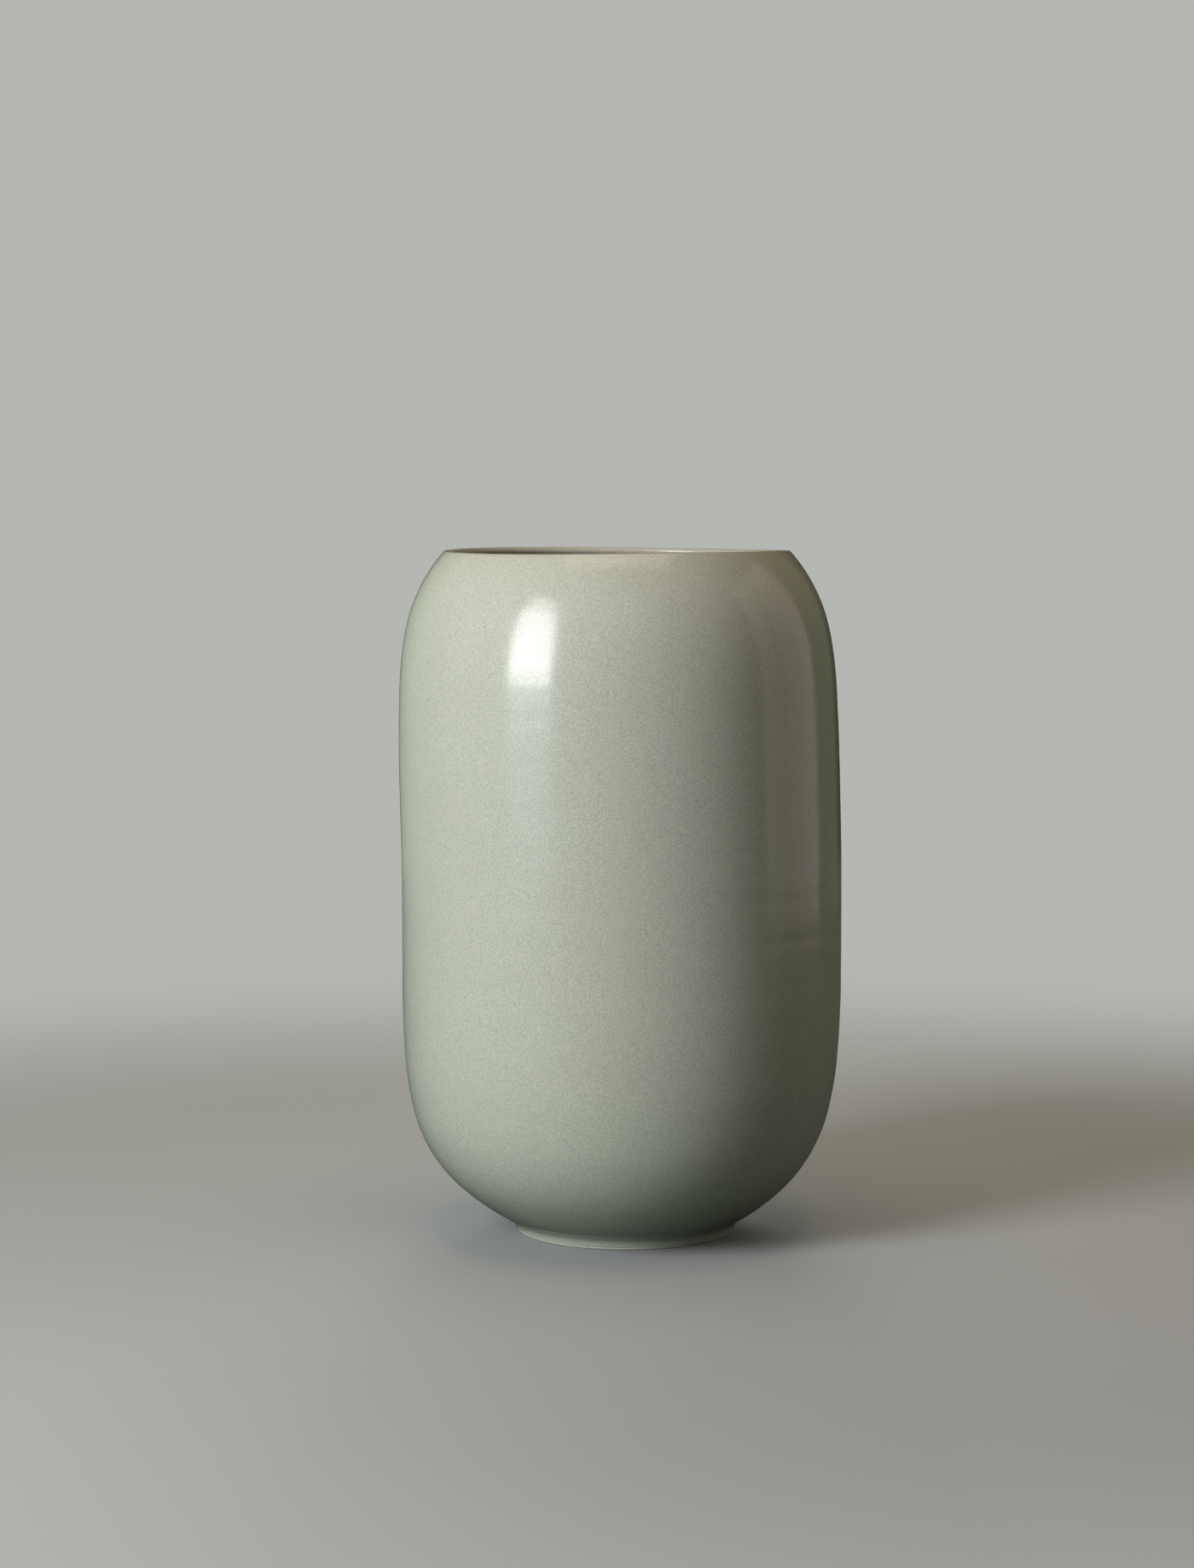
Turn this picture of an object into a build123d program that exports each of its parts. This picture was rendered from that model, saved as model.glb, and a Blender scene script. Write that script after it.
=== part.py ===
from build123d import *
import os
from math import copysign, cos, radians

# A wheel-thrown stoneware vase. Its belly is a plain cylinder that rounds in to a wide mouth above and to
# a narrow foot below. It is four pieces that meet face to face: the thrown clay body, the foot ring that
# is luted under it, the satin glaze on the outside and the liner glaze on the inside.
# Millimetres. +Z is up, and the origin is the centre of the standing face.

# Levels above the standing face
HEIGHT = 300.0                 # crest of the lip
FLOOR_LEVEL = 13.0             # liner glaze at the middle of the floor
RECESS_DEPTH = 4.0             # underside of the floor, where the foot ring is luted on
GLAZE_LINE = 1.25              # the outer glaze stops here and leaves the clay bare below it

# Sections
CREST_RADIUS = 74.1            # circle of the lip's crest, where the outer and liner glazes meet
GLAZE = 0.5                    # thickness of each glaze coat
FOOT_EDGE_RADIUS = 0.5         # sponged outer edge of the standing face
RECESS_RADIUS = 41.5           # inside of the foot ring at the standing face
RECESS_DRAFT = 1.2             # how much narrower the recess is at its top

# The outline of the glazed vase is made of tangent arcs, each given as (radius, turn in degrees).
# A turn is positive where the outline bends towards the clay, and negative where it is hollow.
LIP_OUTSIDE = [(20.0, 2.0), (1.8, 47.0)]
SHOULDER = [(74.4, 30.1), (162.0, 8.2), (945.0, 2.7)]
UNDERBODY = [(431.0, 4.5), (141.0, 9.8), (67.0, 32.6), (102.0, 14.3)]
FOOT_COVE = [(5.8, -61.2)]

LIP_INSIDE = [(20.0, 5.0), (1.5, 125.0)]
SHOULDER_INSIDE = [(77.0, -36.0), (500.0, -4.0)]
BOWL_INSIDE = [(424.0, -4.5), (134.0, -9.8), (54.0, -75.7)]

OUTWARD = 1
INWARD = -1


def fall(arcs):
    """Height lost along tangent arcs that begin by heading straight down."""
    lost = 0.0
    slope = 90.0
    for radius, turn in arcs:
        next_slope = slope + turn
        lost += copysign(radius, turn) * (cos(radians(slope)) - cos(radians(next_slope)))
        slope = next_slope
    return lost


def tangent_arcs(point, heading, arcs, side, inset):
    """Edges of the arcs, one after the other. Each keeps its centre when the outline is inset."""
    edges = []
    for radius, turn in arcs:
        edge = JernArc(point, heading, radius - copysign(inset, turn), -side * turn)
        edges.append(edge)
        point = edge @ 1
        heading = edge % 1
    return edges


def outline(side, upper_arcs, lower_arcs, end_level, inset):
    """One side of the vase from the crest down: upper arcs, the straight wall, then lower arcs.

    end_level is where the last arc ends on the glaze's own surface, before any inset.
    """
    edges = tangent_arcs((CREST_RADIUS, HEIGHT - inset), (side, 0), upper_arcs, side, inset)
    wall_top = edges[-1] @ 1
    wall_base = (wall_top.X, end_level + fall(lower_arcs))
    edges.append(Line(wall_top, wall_base))
    return edges + tangent_arcs(wall_base, (0, -1), lower_arcs, side, inset)


def outside(inset):
    """Outer outline, from the crest to the foot's outer edge."""
    return outline(OUTWARD, LIP_OUTSIDE + SHOULDER, UNDERBODY + FOOT_COVE, FOOT_EDGE_RADIUS, inset)


def inside(inset):
    """Inner outline, from the crest to the middle of the floor."""
    edges = outline(INWARD, LIP_INSIDE + SHOULDER_INSIDE, BOWL_INSIDE, FLOOR_LEVEL, inset)
    floor_edge = edges[-1] @ 1
    return edges + [Line(floor_edge, (0, floor_edge.Y))]


def below(level):
    """The part of the section's plane that lies below a level."""
    return Pos(0, level) * Rectangle(2 * HEIGHT, HEIGHT, align=(Align.CENTER, Align.MAX))


def clay_section():
    """Half section of all the clay: walls, floor and foot."""
    outer = outside(GLAZE)
    inner = inside(GLAZE)
    sponged_edge = JernArc(outer[-1] @ 1, (0, -1), FOOT_EDGE_RADIUS, -90)
    base = Polyline(
        sponged_edge @ 1,
        (RECESS_RADIUS, 0),
        (RECESS_RADIUS - RECESS_DRAFT, RECESS_DEPTH),
        (0, RECESS_DEPTH),
        inner[-1] @ 1,
    )
    return make_face(outer + [sponged_edge] + base.edges() + inner)


def glaze_section(surface, backing):
    """Half section of one coat, between its own surface and the clay behind it."""
    crest = Line(surface[0] @ 0, backing[0] @ 0)
    end = Line(surface[-1] @ 1, backing[-1] @ 1)
    return make_face(surface + backing + [crest, end])


def turned(section):
    """Solid of revolution about the vase's axis."""
    return revolve(Plane.XZ * section, Axis.Z)


def thrown_body():
    return turned(clay_section() - below(RECESS_DEPTH))


def foot_ring():
    return turned(clay_section() & below(RECESS_DEPTH))


def outer_glaze():
    return turned(glaze_section(outside(0), outside(GLAZE)) - below(GLAZE_LINE))


def inner_glaze():
    return turned(glaze_section(inside(0), inside(GLAZE)))


PIECES = {
    "thrown_body": thrown_body,
    "foot_ring": foot_ring,
    "outer_glaze": outer_glaze,
    "inner_glaze": inner_glaze,
}

os.makedirs("parts", exist_ok=True)
for name, make in PIECES.items():
    export_step(make(), f"parts/{name}.step")
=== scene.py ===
# %% [markdown]
# # A wheel-thrown stoneware vase
# The vase is one fired pot in four layers: a thrown clay body, a low foot ring luted under it, a satin
# glaze over the outside and a liner glaze inside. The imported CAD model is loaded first, because it says
# how large everything is and where it stands. Each layer is then modelled again with the small marks that
# a potter's hands leave, and stands in for its CAD piece.

# %% Load the frame
import random
from math import asin, atan2, ceil, copysign, cos, degrees, exp, hypot, pi, radians, sin

import bmesh
import bpy
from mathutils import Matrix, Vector


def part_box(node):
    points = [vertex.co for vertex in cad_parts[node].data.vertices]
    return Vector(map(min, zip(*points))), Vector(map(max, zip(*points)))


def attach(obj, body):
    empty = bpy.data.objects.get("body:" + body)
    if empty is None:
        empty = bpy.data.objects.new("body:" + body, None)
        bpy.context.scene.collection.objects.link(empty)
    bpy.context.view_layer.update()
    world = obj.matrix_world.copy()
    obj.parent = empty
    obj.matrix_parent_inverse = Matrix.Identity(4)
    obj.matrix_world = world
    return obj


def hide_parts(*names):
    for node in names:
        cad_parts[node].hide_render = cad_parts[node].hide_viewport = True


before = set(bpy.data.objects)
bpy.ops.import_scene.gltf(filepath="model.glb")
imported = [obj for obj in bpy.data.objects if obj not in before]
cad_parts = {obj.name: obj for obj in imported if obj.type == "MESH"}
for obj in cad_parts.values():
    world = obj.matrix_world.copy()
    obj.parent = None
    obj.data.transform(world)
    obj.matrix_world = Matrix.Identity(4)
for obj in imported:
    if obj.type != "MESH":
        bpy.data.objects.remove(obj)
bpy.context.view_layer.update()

MM = 0.001
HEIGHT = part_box("inner_glaze")[1].z
GLAZE_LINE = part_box("outer_glaze")[0].z
RECESS_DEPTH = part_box("foot_ring")[1].z
BELLY_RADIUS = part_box("outer_glaze")[1].x
print(f"height {HEIGHT / MM:.1f}, belly radius {BELLY_RADIUS / MM:.1f}, glaze line {GLAZE_LINE / MM:.2f} mm")

# %% [markdown]
# ## The camera
# A short telephoto lens looks at the vase from a little above its rim, so that the mouth is a thin
# ellipse and the upright sides stay nearly upright. It comes first so that every later step can be judged
# in the view that matters.

# %% Place the camera
CAMERA_DISTANCE = 1.475       # in metres, as are the height and the step to the side
CAMERA_HEIGHT = 0.3265
CAMERA_SIDE = -0.0107
LOOK_DOWN = 5.0               # in degrees
LENS = 77.27                  # in millimetres, as is the sensor
SENSOR_WIDTH = 36

bpy.ops.object.camera_add(
    location=(CAMERA_SIDE, -CAMERA_DISTANCE, CAMERA_HEIGHT), rotation=(radians(90 - LOOK_DOWN), 0, 0)
)
camera = bpy.context.object
camera.name = "camera"
camera.data.lens = LENS
camera.data.sensor_width = SENSOR_WIDTH
bpy.context.scene.camera = camera
print(f"camera {CAMERA_DISTANCE} m away, with a {LENS} mm lens")

# %% [markdown]
# ## The outline
# A thrown pot is a turned shape, so it could be made with a screw modifier, with a lathed curve or with
# the spin tool. Here the spin tool does both jobs. It swings one vertex round a centre to draw each
# smooth arc of the outline, and later swings the whole outline once round the pot's axis. The arcs are
# tangent to one another, as the potter's rib leaves them, so the glaze shows no crease.
#
# Each arc is a radius in millimetres and a turn in degrees. A turn is positive where the outline bends
# towards the clay, and negative where it is hollow.

# %% Arcs of the outline
CREST_RADIUS = 74.1
GLAZE = 0.5
FOOT_EDGE_RADIUS = 0.5
RECESS_RADIUS = 41.5
RECESS_DRAFT = 1.2
FLOOR_LEVEL = 13.0

LIP_OUTSIDE = [(20.0, 2.0), (1.8, 47.0)]
SHOULDER = [(74.4, 30.1), (162.0, 8.2), (945.0, 2.7)]
UNDERBODY = [(431.0, 4.5), (141.0, 9.8), (67.0, 32.6), (102.0, 14.3)]
FOOT_COVE = [(5.8, -61.2)]

LIP_INSIDE = [(20.0, 5.0), (1.5, 125.0)]
SHOULDER_INSIDE = [(77.0, -36.0), (500.0, -4.0)]
BOWL_INSIDE = [(424.0, -4.5), (134.0, -9.8), (54.0, -75.7)]

OUTWARD = 1
INWARD = -1


def fall(arcs):
    """Millimetres of height lost along tangent arcs that begin by heading straight down."""
    lost = 0.0
    slope = 90.0
    for radius, turn in arcs:
        next_slope = slope + turn
        lost += copysign(radius, turn) * (cos(radians(slope)) - cos(radians(next_slope)))
        slope = next_slope
    return lost


wall_base = {
    OUTWARD: FOOT_EDGE_RADIUS + fall(UNDERBODY + FOOT_COVE),
    INWARD: FLOOR_LEVEL + fall(BOWL_INSIDE),
}
print(f"straight wall starts at {wall_base[OUTWARD]:.1f} mm outside and {wall_base[INWARD]:.1f} mm inside")

# %% A pen made of the spin and extrude tools
STRIDE = 2.0          # longest step along an outline that shows, in millimetres
HIDDEN_STRIDE = 3.2   # and along one that another layer covers
STEP_TURN = 6.0       # largest turn in one step, in degrees


class Pen:
    """Draws an outline in the XZ plane, one stroke after another, in millimetres and degrees."""

    def __init__(self, name, r, z, heading, stride):
        bpy.ops.object.select_all(action="DESELECT")
        bpy.ops.mesh.primitive_plane_add(size=MM, location=(0, 0, 0))
        bpy.context.object.name = name
        bpy.context.object.data.name = name
        bpy.ops.object.mode_set(mode="EDIT")
        bpy.ops.mesh.select_all(action="SELECT")
        bpy.ops.mesh.delete(type="VERT")
        self.lift_to(r, z, heading, stride)

    def lift_to(self, r, z, heading, stride):
        """Starts a new stroke of the same outline from a vertex of its own."""
        bpy.ops.mesh.select_all(action="DESELECT")
        bpy.ops.mesh.primitive_plane_add(size=MM, location=(r * MM, 0, z * MM))
        bpy.ops.mesh.merge(type="CENTER")
        self.r, self.z, self.heading, self.stride = r, z, heading, stride

    def arc(self, radius, turn):
        """Swings the last vertex round a centre beside it. A positive turn is to the left."""
        to_centre = radians(self.heading + copysign(90, turn))
        centre_r = self.r + radius * cos(to_centre)
        centre_z = self.z + radius * sin(to_centre)
        steps = ceil(max(radius * radians(abs(turn)) / self.stride, abs(turn) / STEP_TURN))
        bpy.ops.mesh.spin(
            steps=steps, angle=radians(turn), center=(centre_r * MM, 0, centre_z * MM), axis=(0, 1, 0)
        )
        self.heading += turn
        from_centre = radians(self.heading - copysign(90, turn))
        self.r = centre_r + radius * cos(from_centre)
        self.z = centre_z + radius * sin(from_centre)

    def line_to(self, r, z):
        """Extrudes the last vertex along a straight line, in even steps."""
        steps = max(1, ceil(hypot(r - self.r, z - self.z) / self.stride))
        step = Vector(((r - self.r) / steps, 0, (z - self.z) / steps)) * MM
        for _ in range(steps):
            bpy.ops.mesh.extrude_region_move(TRANSFORM_OT_translate={"value": step})
        self.heading = degrees(atan2(z - self.z, r - self.r))
        self.r, self.z = r, z

    def follow(self, arcs, side, inset=0.0):
        """Draws tangent arcs. Each keeps its centre when the outline is inset into the clay."""
        for radius, turn in arcs:
            self.arc(radius - copysign(inset, turn), -side * turn)

    def ripple(self, width, count, lean):
        """Draws shallow waves that end on the level they began on, leaning up to some degrees each way."""
        radius = width / (2 * count * sin(radians(lean)))
        self.arc(radius, lean)
        for wave in range(count - 1):
            self.arc(radius, 2 * lean if wave % 2 else -2 * lean)
        self.arc(radius, -lean if count % 2 else lean)


print("a", STRIDE, "mm stride round the belly's corner is",
      ceil(UNDERBODY[2][0] * radians(UNDERBODY[2][1]) / STRIDE), "steps")

# %% [markdown]
# ## Throwing rings
# Fingers climb the inside wall while the wheel turns and leave shallow rings there. Outside, a rib wipes
# nearly all of them away. They are pushed into the outline before it is swung round, with proportional
# editing, which moves one vertex and lets the push fade out smoothly round it. Clay and glaze get the same
# rings, so that the coat keeps its thickness.

# %% Push rings into an outline
# Each kind is (pitch, depth, lowest level, highest level, seed), in millimetres.
FINGER_RINGS = (8.5, 0.45, 24.0, 286.0, 3)
RIB_RINGS = (19.0, 0.06, 40.0, 280.0, 8)
UNEVEN_DEPTH = (0.55, 1.0)
UNEVEN_PITCH = (0.85, 1.15)
REACH = 4.5           # how far a push is felt, less than the wall is thick


def push_rings(side, rings):
    """Pushes one side of the outline being edited into the clay at each ring's level."""
    pitch, depth, lowest, highest, seed = rings
    rng = random.Random(seed)
    level, count = lowest, 0
    while level < highest:
        mesh = bmesh.from_edit_mesh(bpy.context.object.data)
        near = [v for v in mesh.verts if abs(v.co.z - level * MM) < HIDDEN_STRIDE * MM]
        chosen = max(near, key=lambda v: side * v.co.x - abs(v.co.z - level * MM))
        bpy.ops.mesh.select_all(action="DESELECT")
        chosen.select_set(True)
        bpy.ops.transform.translate(
            value=(-side * depth * rng.uniform(*UNEVEN_DEPTH) * MM, 0, 0),
            use_proportional_edit=True,
            proportional_edit_falloff="SMOOTH",
            proportional_size=REACH * MM,
        )
        level += pitch * rng.uniform(*UNEVEN_PITCH)
        count += 1
    print(count, "rings pushed in by up to", depth, "mm")


# %% Swing an outline round the axis
WHEEL_STEPS = 256     # steps once round the pot
SAME_PLACE = 0.002    # vertices nearer than this, in millimetres, are one vertex
SMOOTH_UP_TO = 40.0   # degrees between two faces that are still shaded as one surface


def throw_on_wheel():
    """Swings the outline once round the axis and leaves a closed, smooth mesh with its origin at the foot."""
    bpy.ops.mesh.select_all(action="SELECT")
    bpy.ops.mesh.remove_doubles(threshold=SAME_PLACE * MM)
    bpy.ops.mesh.spin(steps=WHEEL_STEPS, angle=2 * pi, center=(0, 0, 0), axis=(0, 0, 1))
    bpy.ops.mesh.select_all(action="SELECT")
    bpy.ops.mesh.remove_doubles(threshold=SAME_PLACE * MM)
    bpy.ops.mesh.normals_make_consistent(inside=False)
    bpy.ops.object.mode_set(mode="OBJECT")
    bpy.ops.object.transform_apply(location=True, rotation=True, scale=True)
    bpy.ops.object.shade_smooth_by_angle(angle=radians(SMOOTH_UP_TO))
    piece = bpy.context.object
    triangles = sum(len(face.vertices) - 2 for face in piece.data.polygons)
    print(piece.name, "has", len(piece.data.vertices), "vertices and", triangles, "triangles")
    return piece


# %% [markdown]
# ## The outer glaze
# The glaze is the skin that everybody sees. It runs from the crest of the lip down to a line just above the
# standing face, where the potter sponges it off so that the pot doesn't stick to the kiln shelf. There its
# edge is rolled over by surface tension. It is drawn as two strokes from the crest, one along the clay and
# one along the glaze's own surface, which meet at that rolled edge.

# %% Make the outer glaze
EDGE_ROLL = 0.35


def cove_down_to(level, inset=0.0):
    """The foot's cove, cut short where it comes down to a level."""
    radius, turn = FOOT_COVE[0]
    left = degrees(asin((level - FOOT_EDGE_RADIUS) / (radius + inset)))
    return [(radius, turn + left)]


crest = (CREST_RADIUS, HEIGHT / MM)
clay_crest = (CREST_RADIUS, HEIGHT / MM - GLAZE)
glaze_line = GLAZE_LINE / MM

pen = Pen("vase_outer_glaze", *clay_crest, 0, HIDDEN_STRIDE)
pen.follow(LIP_OUTSIDE + SHOULDER, OUTWARD, GLAZE)
pen.line_to(pen.r, wall_base[OUTWARD])
pen.follow(UNDERBODY + cove_down_to(glaze_line, GLAZE), OUTWARD, GLAZE)
edge_on_clay = (pen.r, pen.z)

pen.lift_to(*clay_crest, 90, STRIDE)
pen.line_to(*crest)
pen.heading = 0
pen.follow(LIP_OUTSIDE + SHOULDER, OUTWARD)
pen.line_to(pen.r, wall_base[OUTWARD])
pen.follow(UNDERBODY + cove_down_to(glaze_line + EDGE_ROLL), OUTWARD)
pen.arc(EDGE_ROLL, -90)
pen.line_to(*edge_on_clay)
push_rings(OUTWARD, RIB_RINGS)
outer_glaze = throw_on_wheel()

# %% [markdown]
# ## The liner glaze
# The inside is glazed by pouring, to make the pot watertight. It is drawn in the same way, from the crest
# down to the middle of the floor, where the two strokes end on the axis and the spin closes them.

# %% Make the liner glaze
FLOOR_RINGS = 5
FLOOR_LEAN = 5.0


def draw_inside(pen, inset):
    """The inner outline, from the crest to the middle of the floor."""
    pen.follow(LIP_INSIDE + SHOULDER_INSIDE, INWARD, inset)
    pen.line_to(pen.r, wall_base[INWARD])
    pen.follow(BOWL_INSIDE, INWARD, inset)
    pen.ripple(pen.r, FLOOR_RINGS, FLOOR_LEAN)


pen = Pen("vase_liner_glaze", *clay_crest, 180, HIDDEN_STRIDE)
draw_inside(pen, GLAZE)
pen.lift_to(*clay_crest, 90, STRIDE)
pen.line_to(*crest)
pen.heading = 180
draw_inside(pen, 0.0)
push_rings(INWARD, FINGER_RINGS)
liner_glaze = throw_on_wheel()

# %% [markdown]
# ## The clay body
# The body is the wall, floor and lip that the wheel raised. Nearly all of it is hidden between the two
# coats, and the only bare part is the recess under the floor, where a turning tool leaves fine rings.

# %% Make the clay body
TURNING_RINGS = 13
TURNING_LEAN = 4.0

pen = Pen("vase_body", *clay_crest, 180, HIDDEN_STRIDE)
draw_inside(pen, GLAZE)
push_rings(INWARD, FINGER_RINGS)
pen.lift_to(*clay_crest, 0, HIDDEN_STRIDE)
pen.follow(LIP_OUTSIDE + SHOULDER, OUTWARD, GLAZE)
pen.line_to(pen.r, wall_base[OUTWARD])
pen.follow(UNDERBODY + cove_down_to(RECESS_DEPTH / MM, GLAZE), OUTWARD, GLAZE)
joint = (pen.r, pen.z, pen.heading)
pen.line_to(RECESS_RADIUS - RECESS_DRAFT, pen.z)
pen.heading = 180
pen.ripple(pen.r, TURNING_RINGS, TURNING_LEAN)
push_rings(OUTWARD, RIB_RINGS)
body = throw_on_wheel()

# %% [markdown]
# ## The foot ring
# The pot stands on a low ring. Its outside is coved up into the belly, its inside leans in a little as the
# turning tool left it, and both edges of its standing face are sponged round. It meets the body at the level
# of the recess, face to face.

# %% Make the foot ring
INNER_EDGE_RADIUS = 0.8
OUTER_EDGE_RADIUS = 0.9

pen = Pen("vase_foot_ring", *joint, STRIDE)
cove_radius = FOOT_COVE[0][0] + GLAZE
# The rounding takes over where the cove still leans in by this much, so that it ends on the standing face.
edge_lean = degrees(asin((OUTER_EDGE_RADIUS - FOOT_EDGE_RADIUS) / (cove_radius + OUTER_EDGE_RADIUS)))
pen.arc(cove_radius, -90 - edge_lean - pen.heading)
pen.arc(OUTER_EDGE_RADIUS, edge_lean - 90)
wall_lean = degrees(atan2(RECESS_DEPTH / MM, RECESS_DRAFT))
pen.line_to(RECESS_RADIUS + INNER_EDGE_RADIUS, 0)
pen.heading = 180
pen.arc(INNER_EDGE_RADIUS, -wall_lean)
pen.line_to(RECESS_RADIUS - RECESS_DRAFT, RECESS_DEPTH / MM)
pen.line_to(*joint[:2])
foot_ring = throw_on_wheel()

# %% [markdown]
# ## The hand in it
# No hand-thrown pot is quite true. This one drifts to one side as it rises, its foot sits a little off
# centre, and its rim dips and lifts by less than half a millimetre. All four layers were made true first.
# One lattice then bends them together, so they still fit one another.

# %% How far the axis drifts and the rim lifts, at each level
# Sideways drift of the axis, as (level, drift) in millimetres.
DRIFT = [
    (0, 2.0), (12, 1.3), (30, 0.0), (60, -0.1), (120, 0.2),
    (165, 0.1), (205, -0.9), (240, -1.5), (300, -2.0),
]
RIM_LIFT = 0.45       # at the lip, up on one diagonal and down on the other
RIM_LIFT_FROM = 225.0


def drift_at(level):
    """How far the axis has drifted sideways at a level."""
    for (low, before), (high, after) in zip(DRIFT, DRIFT[1:]):
        if level <= high:
            return before + (after - before) * (level - low) / (high - low)
    return DRIFT[-1][1]


def rim_lift_at(level):
    """How far a ring of the pot at a level is tilted out of its plane, where its radius is the crest's."""
    return RIM_LIFT * max(0.0, (level - RIM_LIFT_FROM) / (HEIGHT / MM - RIM_LIFT_FROM))


def diagonal_share(x, y):
    """1 where the lip crosses the diagonal that lifts, -1 on the one that dips, and 0 midway between them."""
    return -2 * x * y / CREST_RADIUS ** 2


print(f"axis drifts {DRIFT[0][1]} mm at the foot and {DRIFT[-1][1]} mm at the rim, which lifts {RIM_LIFT} mm")

# %% Bend all the pieces with one lattice
LATTICE_LAYERS = 25

bpy.ops.object.select_all(action="DESELECT")
bpy.ops.object.add(type="LATTICE", location=(0, 0, HEIGHT / 2))
lattice = bpy.context.object
lattice.name = "wobble"
lattice.scale = (2 * BELLY_RADIUS, 2 * BELLY_RADIUS, HEIGHT)
lattice.data.points_u = 2
lattice.data.points_v = 2
lattice.data.points_w = LATTICE_LAYERS
lattice.data.interpolation_type_u = "KEY_LINEAR"
lattice.data.interpolation_type_v = "KEY_LINEAR"
for point in lattice.data.points:
    x = point.co.x * 2 * BELLY_RADIUS / MM
    y = point.co.y * 2 * BELLY_RADIUS / MM
    level = (point.co.z + 0.5) * HEIGHT / MM
    point.co_deform.x += drift_at(level) * MM / lattice.scale.x
    point.co_deform.z += rim_lift_at(level) * diagonal_share(x, y) * MM / lattice.scale.z

pieces = [outer_glaze, liner_glaze, body, foot_ring]
for piece in pieces:
    bpy.ops.object.select_all(action="DESELECT")
    bpy.context.view_layer.objects.active = piece
    piece.select_set(True)
    modifier = piece.modifiers.new("wobble", "LATTICE")
    modifier.object = lattice
    bpy.ops.object.modifier_apply(modifier=modifier.name)
bpy.data.objects.remove(lattice)
print("bent", [piece.name for piece in pieces])

# %% [markdown]
# ## How thick the glaze lies
# Molten glaze runs away from sharp edges and gathers in hollows. A material can't see how thick a coat is,
# so each vertex carries two numbers of its own: how thin the coat is, on the two edges of the lip, and how
# much it has pooled, in the foot's cove.

# %% Store thin and pooled places on the glazes
# Each place is (radius, level, spread) in millimetres, on the pot as it was before it was bent.
THIN_PLACES = [(75.6, 299.3, 1.1), (71.2, 299.2, 1.3)]
POOLED_PLACES = [(51.0, 3.6, 2.6)]


def store_places(piece, attribute_name, places):
    """Writes a soft spot round each place, as seen in the pot's section, to a number on every vertex."""
    attribute = piece.data.attributes.new(attribute_name, "FLOAT", "POINT")
    values = []
    for vertex in piece.data.vertices:
        x, y, level = vertex.co.x / MM, vertex.co.y / MM, vertex.co.z / MM
        out = hypot(x - drift_at(level), y)
        level -= rim_lift_at(level) * diagonal_share(x, y)
        values.append(sum(exp(-((out - r) ** 2 + (level - z) ** 2) / spread ** 2) for r, z, spread in places))
    attribute.data.foreach_set("value", values)
    print(piece.name, attribute_name, "reaches", round(max(values), 2))


for glaze in (outer_glaze, liner_glaze):
    store_places(glaze, "thin", THIN_PLACES)
    store_places(glaze, "pooled", POOLED_PLACES)

# %% [markdown]
# ## Finishes
# The glaze is an off-white with a little grey-green in it, satin rather than glassy, over a body that holds
# a little iron. The iron comes up through the glaze as a soft, fine speckle. Each effect is a node group
# with named inputs and outputs, built once: the speckle, the slow drift of tone that a kiln gives, and the
# sandy grain of bare clay. Building nodes in code is long, so a few helpers come first.

# %% Put nodes and groups in a tree
def feed(tree, socket, source):
    """Gives a socket its value: another node's output, a number, or an (r, g, b) colour."""
    if isinstance(source, bpy.types.NodeSocket):
        tree.links.new(source, socket)
    elif isinstance(source, tuple):
        socket.default_value = (*source, 1.0)
    else:
        socket.default_value = source


def add_node(tree, kind, sources=None, **settings):
    """Adds a node with its settings. Sources are {input: what feeds it}."""
    node = tree.nodes.new(kind)
    for name, value in settings.items():
        setattr(node, name, value)
    for name, source in (sources or {}).items():
        feed(tree, node.inputs[name], source)
    return node


def new_group(name, inputs, outputs):
    """An empty shader node group whose sockets are all numbers, apart from the place that it is given."""
    group = bpy.data.node_groups.new(name, "ShaderNodeTree")
    group.interface.new_socket("Vector", in_out="INPUT", socket_type="NodeSocketVector")
    for names, in_out in ((inputs, "INPUT"), (outputs, "OUTPUT")):
        for socket_name in names:
            group.interface.new_socket(socket_name, in_out=in_out, socket_type="NodeSocketFloat")
    print("group", name, "gives", outputs)
    return group, add_node(group, "NodeGroupInput").outputs, add_node(group, "NodeGroupOutput").inputs


# %% Numbers, patterns and mixes
# The Mix node has inputs for each kind of value that it can mix. These are the ones for colours.
FIRST_COLOUR = 6
SECOND_COLOUR = 7
MIXED_COLOUR = 2


def combine(tree, operation, first, second):
    """Adds, multiplies or compares two numbers."""
    return add_node(tree, "ShaderNodeMath", {0: first, 1: second}, operation=operation).outputs["Value"]


def noise(tree, place, scale, detail=2.0, rough=0.5):
    """A cloudy pattern round 0.5, at a scale in features per metre."""
    sources = {"Vector": place, "Scale": scale, "Detail": detail, "Roughness": rough}
    return add_node(tree, "ShaderNodeTexNoise", sources).outputs["Fac"]


def stretch(tree, value, low, high, to_low=0.0, to_high=1.0):
    """Maps a range of a value smoothly to another range."""
    sources = {"Value": value, "From Min": low, "From Max": high, "To Min": to_low, "To Max": to_high}
    return add_node(tree, "ShaderNodeMapRange", sources, interpolation_type="SMOOTHSTEP").outputs["Result"]


def mix_colour(tree, share, first, second):
    """Goes from the first colour to the second as the share goes from 0 to 1."""
    sources = {"Factor": share, FIRST_COLOUR: first, SECOND_COLOUR: second}
    return add_node(tree, "ShaderNodeMix", sources, data_type="RGBA").outputs[MIXED_COLOUR]


# %% Group: iron speckle
# Grain is everywhere. A speck is a round spot in some of the cells that the surface is divided into.
GRAIN_RANGE = (0.35, 0.65)    # the part of the noise's range that becomes no grain to full grain
SPECK_SIZE = (0.10, 0.24)     # as a share of a cell
SPECK_EDGE = 0.6              # how much of a speck fades out towards its rim

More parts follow.
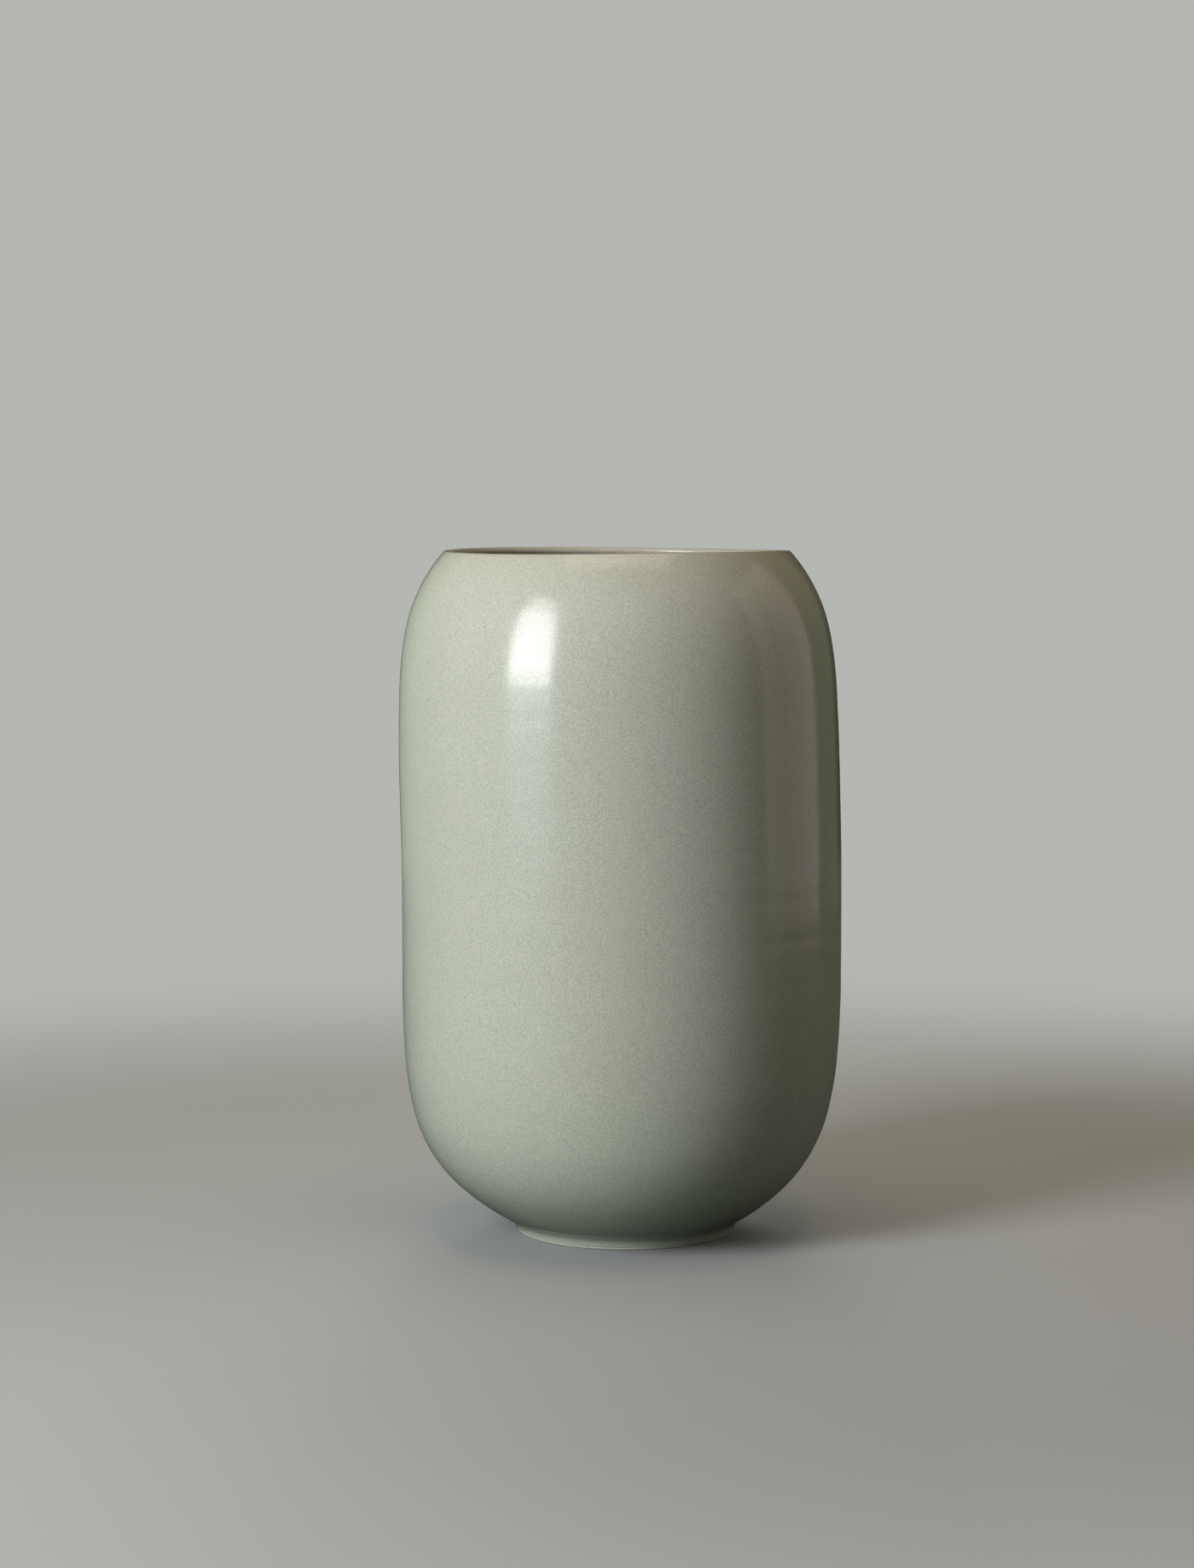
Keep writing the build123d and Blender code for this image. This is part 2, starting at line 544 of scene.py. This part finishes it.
speckle, given, result = new_group(
    "iron speckle", ["Grain per metre", "Specks per metre", "Speck share"], ["Grain", "Specks"]
)
grain = noise(speckle, given["Vector"], given["Grain per metre"], detail=1.0)
feed(speckle, result["Grain"], stretch(speckle, grain, *GRAIN_RANGE))
pattern = {"Vector": given["Vector"], "Scale": given["Specks per metre"]}
cells = add_node(speckle, "ShaderNodeTexVoronoi", pattern).outputs
luck = add_node(speckle, "ShaderNodeSeparateColor", {"Color": cells["Color"]}).outputs
present = combine(speckle, "LESS_THAN", luck["Red"], given["Speck share"])
size = stretch(speckle, luck["Green"], 0.0, 1.0, *SPECK_SIZE)
inside = combine(speckle, "SUBTRACT", 1.0, combine(speckle, "DIVIDE", cells["Distance"], size))
spot = stretch(speckle, inside, 0.0, SPECK_EDGE)
feed(speckle, result["Specks"], combine(speckle, "MULTIPLY", present, spot))

# %% Group: kiln drift
TONE_RANGE = (0.25, 0.75)
RIPPLES_PER_CLOUD = 4.0

drift, given, result = new_group("kiln drift", ["Clouds per metre"], ["Tone", "Ripple"])
clouds = noise(drift, given["Vector"], given["Clouds per metre"], detail=3.0)
feed(drift, result["Tone"], stretch(drift, clouds, *TONE_RANGE))
ripples_per_metre = combine(drift, "MULTIPLY", given["Clouds per metre"], RIPPLES_PER_CLOUD)
feed(drift, result["Ripple"], noise(drift, given["Vector"], ripples_per_metre))

# %% Group: clay grog
PITS_PER_SAND = 0.45
PIT_RANGE = (0.62, 0.72)      # only the peaks of the noise are pits

grog, given, result = new_group("clay grog", ["Sand per metre"], ["Sand", "Pits"])
feed(grog, result["Sand"], noise(grog, given["Vector"], given["Sand per metre"], detail=4.0, rough=0.65))
pits_per_metre = combine(grog, "MULTIPLY", given["Sand per metre"], PITS_PER_SAND)
feed(grog, result["Pits"], stretch(grog, noise(grog, given["Vector"], pits_per_metre), *PIT_RANGE))

# %% [markdown]
# ### Satin glaze
# Layers of colour are laid as they are in the kiln: a base, a slow drift of tone, fine grain and specks,
# then a deeper tint where the coat has pooled and the warm clay showing through where it is thin. Each
# layer is mixed over the ones before it by a mask. The surface is smooth, with a very slight orange peel
# that softens the edge of each reflection. The liner is the same glaze, a little rougher.

# %% Start a material and lay colours on it
def start_material(name):
    """A new material, as its node tree, its shader, and the place of each point on the piece."""
    material = bpy.data.materials.new(name)
    material.use_nodes = True
    tree = material.node_tree
    place = add_node(tree, "ShaderNodeTexCoord").outputs["Object"]
    return material, tree, tree.nodes["Principled BSDF"], place


def place_group(tree, group, place, **values):
    """Puts a group in a material with its own values, and returns its outputs."""
    sources = {"Vector": place} | {name.replace("_", " "): value for name, value in values.items()}
    return add_node(tree, "ShaderNodeGroup", sources, node_tree=group).outputs


def lay_colours(tree, colour, layers):
    """Mixes (mask, strength, tint) layers over a colour, one after another."""
    for mask, strength, tint in layers:
        colour = mix_colour(tree, combine(tree, "MULTIPLY", mask, strength), colour, tint)
    return colour


def bump(tree, shader, height, strength, depth):
    """Raises and lowers the surface by a height pattern. The depth is in millimetres."""
    sources = {"Height": height, "Strength": strength, "Distance": depth * MM}
    feed(tree, shader.inputs["Normal"], add_node(tree, "ShaderNodeBump", sources).outputs["Normal"])


# %% Satin glaze and liner glaze
IRON = (0.25, 0.21, 0.15)
POOLED = (0.50, 0.55, 0.47)
WARM_CLAY = (0.50, 0.42, 0.33)
GRAIN_SHADE = 0.79            # brightness of full grain, as a share of the base's
SPECK_STRENGTH = 0.35
POOL_STRENGTH = 0.5
RIPPLE_RANGE = (0.3, 0.7)
ROUGHNESS_CHANGE = (-0.01, 0.02)    # what the ripple adds to the roughness, at its two ends
GRAIN_ON_GLOSS = 0.01
GRAIN_ON_SKIN = 0.02
GLAZE_IOR = 1.5
PEEL_STRENGTH = 0.5
PEEL_DEPTH = 0.06             # of the orange peel, in millimetres


def stored(tree, attribute_name):
    """A number that the piece's own vertices carry."""
    return add_node(tree, "ShaderNodeAttribute", attribute_name=attribute_name).outputs["Fac"]


def glaze_material(name, base, cloudy, edge_break, roughness):
    """A satin glaze. The edge break is how strongly the clay shows through where the coat is thin."""
    material, tree, shader, place = start_material(name)
    tone = place_group(tree, drift, place, Clouds_per_metre=40.0)
    flecks = place_group(
        tree, speckle, place, Grain_per_metre=1500.0, Specks_per_metre=330.0, Speck_share=0.12
    )
    colour = lay_colours(tree, mix_colour(tree, tone["Tone"], base, cloudy), [
        (flecks["Grain"], 1.0, tuple(GRAIN_SHADE * channel for channel in base)),
        (flecks["Specks"], SPECK_STRENGTH, IRON),
        (stored(tree, "pooled"), POOL_STRENGTH, POOLED),
        (stored(tree, "thin"), edge_break, WARM_CLAY),
    ])
    feed(tree, shader.inputs["Base Color"], colour)
    satin = stretch(tree, tone["Ripple"], *RIPPLE_RANGE, *(roughness + change for change in ROUGHNESS_CHANGE))
    grit = combine(tree, "MULTIPLY", flecks["Grain"], GRAIN_ON_GLOSS)
    feed(tree, shader.inputs["Roughness"], combine(tree, "ADD", satin, grit))
    shader.inputs["IOR"].default_value = GLAZE_IOR
    skin = combine(tree, "ADD", tone["Ripple"], combine(tree, "MULTIPLY", flecks["Grain"], GRAIN_ON_SKIN))
    bump(tree, shader, skin, PEEL_STRENGTH, PEEL_DEPTH)
    print("material", name)
    return material


satin_glaze = glaze_material(
    "satin glaze", base=(0.576, 0.596, 0.502), cloudy=(0.566, 0.573, 0.482), edge_break=0.3, roughness=0.15
)
liner = glaze_material(
    "liner glaze", base=(0.600, 0.606, 0.508), cloudy=(0.576, 0.582, 0.490), edge_break=0.1, roughness=0.22
)

# %% [markdown]
# ### Bare stoneware
# Fired without glaze, the clay is a matt grey buff with sand in it. The standing face has been sponged, so
# its grain stands out a little and catches the light. It is laid on in the same way as the glaze.

# %% Bare stoneware
BUFF = (0.66, 0.63, 0.56)
BROWN_BUFF = (0.60, 0.56, 0.48)
SAND = (0.74, 0.70, 0.62)
PIT = (0.38, 0.33, 0.26)
SAND_STRENGTH = 0.5
PIT_STRENGTH = 0.3
SAND_RANGE = (0.3, 0.7)
CLAY_ROUGHNESS = (0.72, 0.88)
RELIEF_STRENGTH = 0.6
RELIEF_DEPTH = 0.12           # of sand and pits, in millimetres

stoneware, tree, shader, place = start_material("bare stoneware")
clay = place_group(tree, grog, place, Sand_per_metre=1100.0)
tone = place_group(tree, drift, place, Clouds_per_metre=30.0)
colour = lay_colours(tree, mix_colour(tree, tone["Tone"], BUFF, BROWN_BUFF), [
    (clay["Sand"], SAND_STRENGTH, SAND),
    (clay["Pits"], PIT_STRENGTH, PIT),
])
feed(tree, shader.inputs["Base Color"], colour)
feed(tree, shader.inputs["Roughness"], stretch(tree, clay["Sand"], *SAND_RANGE, *CLAY_ROUGHNESS))
bump(tree, shader, combine(tree, "SUBTRACT", clay["Sand"], clay["Pits"]), RELIEF_STRENGTH, RELIEF_DEPTH)
print("material", stoneware.name)

# %% Give each piece its finish, its body and the CAD piece it stands for
for piece, node, finish, slot in (
    (outer_glaze, "outer_glaze", satin_glaze, "satin_glaze"),
    (liner_glaze, "inner_glaze", liner, "liner_glaze"),
    (body, "thrown_body", stoneware, "bare_stoneware"),
    (foot_ring, "foot_ring", stoneware, "foot_stoneware"),
):
    piece.data.materials.append(finish)
    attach(piece, "root")
    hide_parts(node)
    print(piece.name, "stands for", node)

# %% [markdown]
# ## The studio
# The floor and the backdrop are plain and pale where the camera sees them. Light and reflections find a
# darker table and room instead, because a pale floor would throw light up under the vase and flatten it.
# Far from the vase the floor turns into the backdrop, as seamless studio paper does.

# %% Floor and backdrop
FLOOR_SIZE = 14.0
FLOOR_ROUGHNESS = 0.7
FLOOR_SHEEN = 0.2                     # specular level, low as on paper
PALE = (0.46, 0.47, 0.45)
PALE_PAINT = (0.455, 0.475, 0.475)    # a little cooler, because the lamp overhead is warm
TABLE = (0.064, 0.086, 0.070)
ROOM = (0.004, 0.005, 0.004)
SEAMLESS = (0.32, 0.85)               # metres from the vase's axis, where the turn begins and ends


def seen_by_camera(tree):
    """1 where the camera looks straight at it, 0 where light or a reflection finds it."""
    return add_node(tree, "ShaderNodeLightPath").outputs["Is Camera Ray"]


bpy.ops.object.select_all(action="DESELECT")
bpy.ops.mesh.primitive_plane_add(size=FLOOR_SIZE, location=(0, 0, 0))
floor = bpy.context.object
floor.name = "studio_floor"
floor_paint, tree, shader, place = start_material("pale floor")
camera_sees = seen_by_camera(tree)
feed(tree, shader.inputs["Base Color"], mix_colour(tree, camera_sees, TABLE, PALE_PAINT))
shader.inputs["Roughness"].default_value = FLOOR_ROUGHNESS
shader.inputs["Specular IOR Level"].default_value = FLOOR_SHEEN
distance = add_node(tree, "ShaderNodeVectorMath", {0: place}, operation="LENGTH").outputs["Value"]
turning = combine(tree, "MULTIPLY", camera_sees, stretch(tree, distance, *SEAMLESS))
paper = add_node(tree, "ShaderNodeEmission", {"Color": PALE}).outputs["Emission"]
blend = add_node(tree, "ShaderNodeMixShader", {0: turning, 1: shader.outputs["BSDF"], 2: paper})
feed(tree, tree.nodes["Material Output"].inputs["Surface"], blend.outputs["Shader"])
floor.data.materials.append(floor_paint)

world = bpy.data.worlds.new("studio")
world.use_nodes = True
bpy.context.scene.world = world
tree = world.node_tree
feed(tree, tree.nodes["Background"].inputs["Color"], mix_colour(tree, seen_by_camera(tree), ROOM, PALE))
print("floor and backdrop ready,", FLOOR_SIZE, "m across")

# %% [markdown]
# ## The lights
# A tall softbox stands to the left, in front. It is hottest in its middle and fades towards its ends, so it
# draws a bright upright window on the shoulder with a dim tail below it, and lets the right side fall into
# shade, which is what shows a round form. Dim pale cards on the right lay a wide soft band down the shaded
# side. Every light is a plain area light. One lamp has one brightness, so the softbox is a stack of six.

# %% Lights that stand upright round the vase
def set_light(light, name, colour, area):
    """The colour is the light's brightness in red, green and blue, as a reflection of it would show."""
    brightest = max(colour)
    light.name = name
    light.data.energy = brightest * pi * area
    light.data.color = [channel / brightest for channel in colour]
    light.visible_camera = False
    print(name, "gives", round(light.data.energy, 2), "W")


def upright_light(name, azimuth, distance, low, high, width, colour):
    """A rectangle that faces the vase. Azimuth is in degrees from the front, positive to the right."""
    a = radians(azimuth)
    middle = (distance * sin(a), -distance * cos(a), (low + high) / 2)
    bpy.ops.object.light_add(type="AREA", location=middle, rotation=(radians(90), 0, a))
    light = bpy.context.object
    light.data.shape = "RECTANGLE"
    light.data.size = width
    light.data.size_y = high - low
    set_light(light, name, colour, width * (high - low))
    return light


# %% Softbox, from its dim foot to its dim head
# Each row is (azimuth, lowest, highest, width, brightness). Low down it is a little cooler, as skylight is.
SOFTBOX_DISTANCE = 1.1
SOFTBOX_ROWS = [
    (-45.5, 0.05, 0.24, 0.45, (1.1, 1.3, 1.5)),
    (-45.5, 0.24, 0.352, 0.45, (3.7, 4.0, 4.4)),
    (-45.5, 0.352, 0.52, 0.45, (14.0, 14.2, 14.6)),
    (-45.5, 0.52, 0.72, 0.45, (13.0, 13.1, 13.5)),
    (-46.5, 0.72, 1.00, 0.43, (11.0, 11.1, 11.4)),
    (-47.5, 1.00, 1.25, 0.34, (5.6, 5.7, 5.8)),
]

for number, (azimuth, *row) in enumerate(SOFTBOX_ROWS, 1):
    upright_light(f"softbox_{number}", azimuth, SOFTBOX_DISTANCE, *row)

# %% Cards on the right, and the dim glow of the room's own walls
# Each row is (name, azimuth, distance, lowest, highest, width, brightness).
CARDS = [
    ("card_near", 87.5, 1.2, -0.05, 1.3, 0.44, (0.63, 0.60, 0.53)),
    ("card_far", 108.5, 1.2, -0.05, 1.3, 0.48, (0.69, 0.64, 0.58)),
    ("card_edge", 135, 1.2, -0.05, 1.3, 0.62, (0.07, 0.10, 0.05)),
    ("left_wall", -140, 1.3, 0.0, 1.3, 1.0, (0.205, 0.260, 0.165)),
    ("warm_wall", 5, 1.2, 0.7, 1.6, 0.9, (0.26, 0.145, 0.05)),
]

for card in CARDS:
    upright_light(*card)

# %% A warm lamp overhead
LAMP_LEVEL = 1.6
LAMP_SIZE = 1.0
LAMP_BRIGHTNESS = 1.75
LAMP_TINT = (1.0, 0.77, 0.54)

bpy.ops.object.light_add(type="AREA", location=(0, 0, LAMP_LEVEL))
lamp = bpy.context.object
lamp.data.size = LAMP_SIZE
set_light(lamp, "overhead", [LAMP_BRIGHTNESS * channel for channel in LAMP_TINT], LAMP_SIZE ** 2)

# %% Light off the table
# The table in front of the softbox throws a little light back up, too broad to show as a reflection. It
# lights the vase alone, because the floor is so near it that its edge would show there.
bounce = upright_light("table_bounce", -38, 0.55, 0.0, 0.16, 0.6, (1.32, 1.48, 1.26))
bounce.visible_glossy = False
vase_only = bpy.data.collections.new("vase_only")
for piece in pieces:
    vase_only.objects.link(piece)
bounce.light_linking.receiver_collection = vase_only

# %% Light for the back
# A broad light for the back is kept out of reflections, so that it draws no bright line on the outline. A
# narrow one shows there as a dim window.
back_fill = upright_light("back_fill", 180, 1.6, 0.1, 1.1, 1.0, (3.4, 3.4, 3.2))
back_fill.visible_glossy = False
upright_light("back_window", 180, 1.6, 0.3, 1.1, 0.12, (3.0, 3.0, 2.9))

# %% Show colours as they are, with no film curve over them
bpy.context.scene.view_settings.view_transform = "Standard"
print("view transform", bpy.context.scene.view_settings.view_transform)
